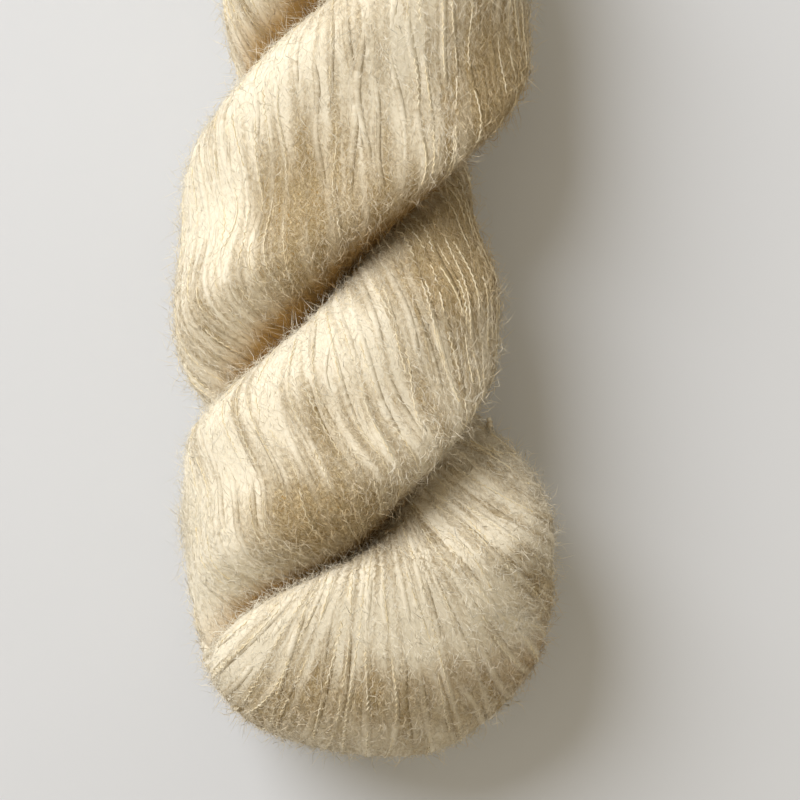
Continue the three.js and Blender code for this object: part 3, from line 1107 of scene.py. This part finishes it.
def wool(name, settings, place, grooves=None):
    """Pale curling fibres drawn over tan wool, with their relief. The tan also shows in streaks,
    and as painted shade in the grooves beside a yarn."""
    material, tree, shader = new_material(name, 1.0, 0.1, 0.1)
    curls = felted(tree, attribute(tree, place, "Vector"))
    lies = attribute(tree, "wool_place", "Vector")
    frayed = vector_math(tree, "ADD", lies, shaken(tree, lies, 0.9, 2.0, 1.6))
    fine = streaks(tree, frayed, 2.2, 24.0)
    broad = streaks(tree, frayed, 6.0, 50.0)
    # The wool's tan, with the painted shade and light of the patches
    tan = math(tree, "MULTIPLY_ADD", fine, -0.75, attribute(tree, "tan"))
    tan = math(tree, "MULTIPLY_ADD", broad, -0.4, tan)
    if grooves:
        # Painted shade on the flanks of a yarn, where it meets its neighbours
        off = spread(tree, off_middle(tree, attribute(tree, grooves)), 0.03, 0.2)
        tan = math(tree, "MULTIPLY_ADD", off, 0.3, tan)
    tan = spread(tree, tan, -0.5, 0.5)
    base = blend(tree, tan, settings.haze_colour, settings.shade_colour)
    fibres = blend(tree, tan, settings.fibre_colour, settings.yarn_colour)
    colour = blend(tree, math(tree, "MULTIPLY", curls, 0.85), base, fibres)
    height = math(tree, "MULTIPLY", curls, tan)
    bump = first(tree, "ShaderNodeBump", Height=height, Distance=RELIEF, Strength=1.0)
    tree.links.new(bump, shader.inputs["Normal"])
    return painted(material, tree, shader, colour, settings)


def fibre_material(settings):
    material, tree, shader = new_material("hank_fibre", 0.8, 0.1, 0.2)
    pale = math(tree, "MULTIPLY_ADD", attribute(tree, "shade"), 0.4, 0.7)
    # The fibres follow the tan of the wool below, with its painted shade and light
    pale = math(tree, "MULTIPLY_ADD", attribute(tree, "tan"), -0.6, pale)
    mixed = blend(tree, 0.45, settings.yarn_colour, settings.shade_colour)
    colour = blend(tree, spread(tree, pale, 0.0, 0.8), mixed, settings.fibre_colour)
    return painted(material, tree, shader, colour, settings)


def binder_material(settings):
    material, tree, shader = new_material("hank_binder", 0.4, 0.1, 0.5)
    share = spread(tree, object_noise(tree, 400), 0.3, 0.7)
    colour = blend(tree, share, settings.yarn_colour, settings.binder_colour)
    return painted(material, tree, shader, colour, settings)


# Stage


FLOOR_COLOURS = (0.68, 0.71, 0.76), (0.71, 0.74, 0.79)
FLOOR_HALF = 1.6
LAMP_PLACE = (-1.06, 0.98, 1.25)
LAMP_AIM = (0, -0.05, 0.02)
LAMP_SIZE = 1.45
LAMP_POWER = 37.0
LAMP_COLOUR = (0.985, 0.985, 1.0)
ROOM_COLOUR = (1.0, 0.87, 0.66, 1)
ROOM_STRENGTH = 0.46

# The photograph is taken straight from above. Its frame is 200 mm wide, and its middle is at this
# point of the form.
VIEW_MIDDLE = (12.5, 89.25, 27.0)
VIEW_WIDTH = 0.2
VIEW_DISTANCE = 1.2


def make_floor():
    material, tree, shader = new_material("stage_paper", 0.9, 0.0, 0.2)
    colour = blend(tree, object_noise(tree, 12), *FLOOR_COLOURS)
    tree.links.new(colour, shader.inputs["Base Color"])
    mesh = bpy.data.meshes.new("stage_floor")
    half = FLOOR_HALF
    corners = [(-half, -half, 0), (half, -half, 0), (half, half, 0), (-half, half, 0)]
    mesh.from_pydata(corners, [], [(0, 1, 2, 3)])
    mesh.materials.append(material)
    add_object("stage_floor", mesh)


def make_lamp():
    lamp = bpy.data.lights.new("window", "AREA")
    lamp.shape = "DISK"
    lamp.size = LAMP_SIZE
    lamp.energy = LAMP_POWER
    lamp.color = LAMP_COLOUR
    holder = add_object("window", lamp)
    holder.location = LAMP_PLACE
    towards = Vector(LAMP_AIM) - Vector(LAMP_PLACE)
    holder.rotation_euler = towards.to_track_quat("-Z", "Y").to_euler()


def make_camera():
    camera = bpy.data.cameras.new("camera")
    camera.sensor_width = 36
    camera.lens = camera.sensor_width * VIEW_DISTANCE / VIEW_WIDTH
    camera.clip_start, camera.clip_end = 0.01, 20
    holder = add_object("camera", camera)
    middle = to_frame(np.array(VIEW_MIDDLE))
    holder.location = (middle[0], middle[1], middle[2] + VIEW_DISTANCE)
    bpy.context.scene.camera = holder


def make_world():
    world = bpy.data.worlds.new("soft_room")
    world.use_nodes = True
    background = world.node_tree.nodes["Background"]
    background.inputs["Color"].default_value = ROOM_COLOUR
    background.inputs["Strength"].default_value = ROOM_STRENGTH
    bpy.context.scene.world = world


# Settings, operators and panel


def size_setting(name, description, default, low, high):
    return FloatProperty(
        name=name, description=description, default=default, min=low, max=high, unit="LENGTH"
    )


def colour_setting(name, description, default):
    return FloatVectorProperty(
        name=name, description=description, default=default, subtype="COLOR", min=0, max=1
    )


class HankSettings(bpy.types.PropertyGroup):
    seed: IntProperty(name="Seed", description="Which random arrangement is made", default=7)
    yarn_thickness: size_setting(
        "Yarn thickness", "Width of a brushed yarn", 0.0034, 0.0005, 0.01
    )
    binder_thickness: size_setting(
        "Binder thickness", "Width of a shiny binder thread", 0.00044, 0.0001, 0.002
    )
    fibre_length: size_setting(
        "Fibre length", "Length of a brushed fibre", 0.0042, 0.001, 0.02
    )
    fibre_share: FloatProperty(
        name="Fibres", description="Share of the full count of brushed fibres", default=1.0,
        min=0.01, max=1.0, subtype="FACTOR",
    )
    yarn_colour: colour_setting("Yarn colour", "Cream of the brushed yarn", (0.87, 0.74, 0.47))
    haze_colour: colour_setting("Haze colour", "Pale cream of thick fluff", (0.81, 0.74, 0.58))
    # The tan of the wool, and also the colour the painted shade turns to towards a crease
    shade_colour: colour_setting("Shade colour", "Tan of the yarn's hollows", (0.46, 0.295, 0.11))
    # Painted shade: the brown painted into the creases
    painted_crease_shade_colour: colour_setting("Gap colour", "Brown between parted yarns", (0.29, 0.16, 0.035))
    fibre_colour: colour_setting("Fibre colour", "Pale cream of single fibres", (0.91, 0.86, 0.73))
    binder_colour: colour_setting("Binder colour", "Cream yellow of the binder", (0.97, 0.91, 0.74))


MADE = {}


def belong(piece):
    """Every piece of the hank rides on its one body and stands for its one node"""
    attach(piece, BODY)
    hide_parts(NODE)


class HANK_OT_body(bpy.types.Operator):
    """Lay the felted skin that the yarns come out of"""

    bl_idname = "hank.body"
    bl_label = "Felted body"

    def execute(self, context):
        chains = [chain for _, chains in MADE["yarns"][:2] for chain in chains]
        MADE["body"] = make_body(context.scene.hank, chains)
        belong(MADE["body"])
        return {"FINISHED"}


class HANK_OT_yarns(bpy.types.Operator):
    """Wind the brushed yarns along the strands and over the fold"""

    bl_idname = "hank.yarns"
    bl_label = "Brushed yarns"

    def execute(self, context):
        MADE["yarns"] = make_yarns(context.scene.hank)
        for piece, _ in MADE["yarns"]:
            belong(piece)
        return {"FINISHED"}


class HANK_OT_binders(bpy.types.Operator):
    """Lay the shiny binder threads along the yarns"""

    bl_idname = "hank.binders"
    bl_label = "Binder threads"

    def execute(self, context):
        chains = [chain for _, chains in MADE["yarns"] for chain in chains]
        belong(make_binders(context.scene.hank, chains))
        return {"FINISHED"}


class HANK_OT_fuzz(bpy.types.Operator):
    """Brush fibres out of the yarns"""

    bl_idname = "hank.fuzz"
    bl_label = "Brushed fibres"

    def execute(self, context):
        for piece in make_fuzz(context.scene.hank, MADE["body"]):
            belong(piece)
        return {"FINISHED"}


class HANK_OT_stage(bpy.types.Operator):
    """Set the pale floor, the soft light and the camera straight above"""

    bl_idname = "hank.stage"
    bl_label = "Stage"

    def execute(self, context):
        make_floor()
        make_world()
        make_lamp()
        make_camera()
        context.scene.view_settings.view_transform = "Standard"
        return {"FINISHED"}


OPERATORS = (HANK_OT_yarns, HANK_OT_body, HANK_OT_binders, HANK_OT_fuzz, HANK_OT_stage)


class HANK_PT_panel(bpy.types.Panel):
    """Sizes and colours of the hank, and a button for each group of its pieces"""

    bl_idname = "HANK_PT_panel"
    bl_label = "Brushed yarn hank"
    bl_space_type = "VIEW_3D"
    bl_region_type = "UI"
    bl_category = "Hank"

    def draw(self, context):
        for name in HankSettings.__annotations__:
            self.layout.prop(context.scene.hank, name)
        for operator in OPERATORS:
            self.layout.operator(operator.bl_idname)


CLASSES = (HankSettings, *OPERATORS, HANK_PT_panel)


def register():
    for item in CLASSES:
        bpy.utils.register_class(item)
    bpy.types.Scene.hank = PointerProperty(type=HankSettings)


def unregister():
    del bpy.types.Scene.hank
    for item in reversed(CLASSES):
        bpy.utils.unregister_class(item)


def main():
    register()
    bpy.ops.hank.yarns()
    bpy.ops.hank.body()
    bpy.ops.hank.binders()
    bpy.ops.hank.fuzz()
    bpy.ops.hank.stage()


if __name__ == "__main__":
    main()
